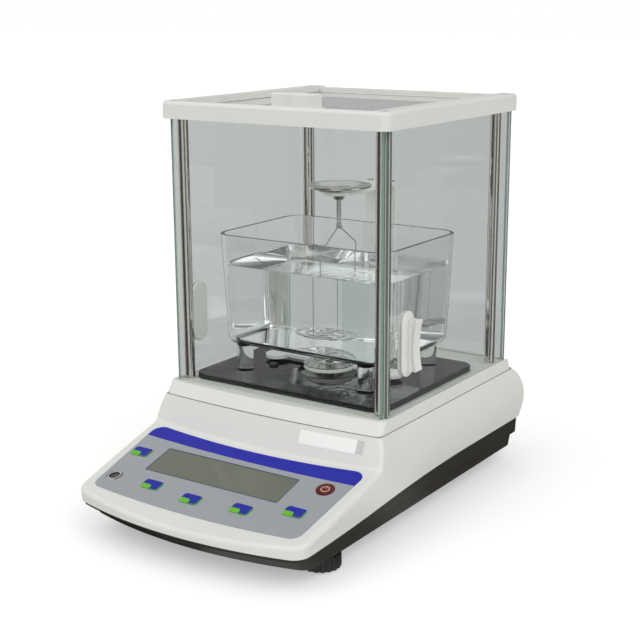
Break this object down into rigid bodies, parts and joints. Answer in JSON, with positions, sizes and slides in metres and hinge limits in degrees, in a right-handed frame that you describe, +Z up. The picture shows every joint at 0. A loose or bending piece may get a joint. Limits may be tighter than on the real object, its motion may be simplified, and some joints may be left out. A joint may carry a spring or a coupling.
{
  "type": "benchtop density meter",
  "caption": "Benchtop density meter: a weighing base with a sloped key panel and a glass draught shield over a water tank, an air pan on a yoke and a hanging wire basket.",
  "frame": {"origin": "middle of the underside of the whole instrument, on the bench", "axes": "-Y is the front with the key panel, +X the user's right, +Z up"},
  "size_m": [0.2252, 0.3605, 0.3312],
  "materials": {
    "dark_plastic": "fine satin",
    "dark_plastic_feet": "satin",
    "rubber": "matt",
    "white_plastic": "fine satin",
    "grey_film": "satin film",
    "display_window": "clear over the display",
    "electronics": "moulded",
    "board": "lacquered",
    "red_trim": "printed",
    "level_glass": "polished",
    "blue_key": "embossed film",
    "red_key": "embossed film",
    "aluminium": "machined",
    "steel": "polished stainless",
    "brass": "turned",
    "floor_metal": "satin",
    "black_gloss": "gloss",
    "clear_glass": "clear float glass, green at the edges",
    "clear_plastic": "clear moulded",
    "clear_plastic_legs": "clear moulded"
  },
  "bodies": {
    "base": {"bottom_case": "dark_plastic", "top_case": "white_plastic", "shield_platform": "white_plastic", "keypad_overlay": "grey_film", "lcd_window": "display_window", "lcd_module": "electronics", "level_bezel": "red_trim", "level_vial": "level_glass", "display_board": "board", "key_switches": "electronics", "main_board": "board", "chassis_plate": "aluminium", "weighing_cell": "aluminium", "socket_plate": "dark_plastic", "power_socket": "electronics", "serial_port": "steel", "case_screws": "steel", "foot_nuts": "brass", "rear_feet": "rubber", "floor_plate": "floor_metal", "tank_base": "black_gloss", "top_frame": "white_plastic", "frame_screws": "white_plastic", "post_front_left": "steel", "post_front_right": "steel", "post_rear_left": "steel", "post_rear_right": "steel", "front_glass": "clear_glass", "rear_glass": "clear_glass", "tank": "clear_plastic", "tank_legs": "clear_plastic_legs"},
    "left_door": {"left_door_glass": "clear_glass", "left_door_handle": "white_plastic", "left_door_inner_plate": "white_plastic"},
    "right_door": {"right_door_glass": "clear_glass", "right_door_handle": "white_plastic", "right_door_inner_plate": "white_plastic"},
    "top_door": {"top_door_glass": "clear_glass", "top_door_knob": "white_plastic"},
    "density_key": {"key_density": "blue_key"},
    "mode_key": {"key_mode": "blue_key"},
    "print_key": {"key_print": "blue_key"},
    "tare_key": {"key_tare": "blue_key"},
    "zero_key": {"key_zero": "blue_key"},
    "power_key": {"key_power": "red_key"},
    "left_foot_pad": {"foot_pad_left": "rubber"},
    "left_foot_screw": {"foot_wheel_left": "dark_plastic_feet"},
    "right_foot_pad": {"foot_pad_right": "rubber"},
    "right_foot_screw": {"foot_wheel_right": "dark_plastic_feet"},
    "weighing_train": {"cell_spindle": "steel", "yoke_base": "steel", "yoke_upright": "steel", "yoke_arm": "steel", "yoke_screws": "steel", "pan_seat": "steel", "seat_screw": "steel", "air_pan": "steel", "hanger": "steel"},
    "basket": {"basket_bail": "steel", "basket_tray": "steel"}
  },
  "joints": [
    {"name": "left_door_slide", "type": "slide", "parent": "base", "child": "left_door", "axis": [0, 1, 0], "range_m": [0, 0.135]},
    {"name": "right_door_slide", "type": "slide", "parent": "base", "child": "right_door", "axis": [0, 1, 0], "range_m": [0, 0.135]},
    {"name": "top_door_slide", "type": "slide", "parent": "base", "child": "top_door", "axis": [0, 1, 0], "range_m": [0, 0.14]},
    {"name": "density_press", "type": "slide", "parent": "base", "child": "density_key", "axis": [0, 0.2605, -0.9655], "range_m": [0, 0.0004], "stiffness_N_per_m": 800, "springref_m": -0.0003},
    {"name": "mode_press", "type": "slide", "parent": "base", "child": "mode_key", "axis": [0, 0.2605, -0.9655], "range_m": [0, 0.0004], "stiffness_N_per_m": 800, "springref_m": -0.0003},
    {"name": "print_press", "type": "slide", "parent": "base", "child": "print_key", "axis": [0, 0.2605, -0.9655], "range_m": [0, 0.0004], "stiffness_N_per_m": 800, "springref_m": -0.0003},
    {"name": "tare_press", "type": "slide", "parent": "base", "child": "tare_key", "axis": [0, 0.2605, -0.9655], "range_m": [0, 0.0004], "stiffness_N_per_m": 800, "springref_m": -0.0003},
    {"name": "zero_press", "type": "slide", "parent": "base", "child": "zero_key", "axis": [0, 0.2605, -0.9655], "range_m": [0, 0.0004], "stiffness_N_per_m": 800, "springref_m": -0.0003},
    {"name": "power_press", "type": "slide", "parent": "base", "child": "power_key", "axis": [0, 0.2605, -0.9655], "range_m": [0, 0.0004], "stiffness_N_per_m": 800, "springref_m": -0.0003},
    {"name": "left_foot_height", "type": "slide", "parent": "base", "child": "left_foot_pad", "axis": [0, 0, 1], "range_m": [-0.004, 0.001]},
    {"name": "left_foot_turn", "type": "hinge", "parent": "left_foot_pad", "child": "left_foot_screw", "pos_m": [-0.086, -0.112, 0.006], "axis": [0, 0, 1], "range_deg": [-1480, 400]},
    {"name": "right_foot_height", "type": "slide", "parent": "base", "child": "right_foot_pad", "axis": [0, 0, 1], "range_m": [-0.004, 0.001]},
    {"name": "right_foot_turn", "type": "hinge", "parent": "right_foot_pad", "child": "right_foot_screw", "pos_m": [0.086, -0.112, 0.006], "axis": [0, 0, 1], "range_deg": [-1480, 400]},
    {"name": "load_travel", "type": "slide", "parent": "base", "child": "weighing_train", "axis": [0, 0, 1], "range_m": [-0.0003, 0], "stiffness_N_per_m": 20000, "springref_m": 0.0008},
    {"name": "basket_swing", "type": "hinge", "parent": "weighing_train", "child": "basket", "pos_m": [0, 0.0455, 0.2201], "axis": [0, 1, 0], "range_deg": [-8, 8]}
  ],
  "couplings": [
    {"joint": "left_foot_turn", "follows": "left_foot_height", "rad_per_m": 6283.2},
    {"joint": "right_foot_turn", "follows": "right_foot_height", "rad_per_m": 6283.2}
  ]
}
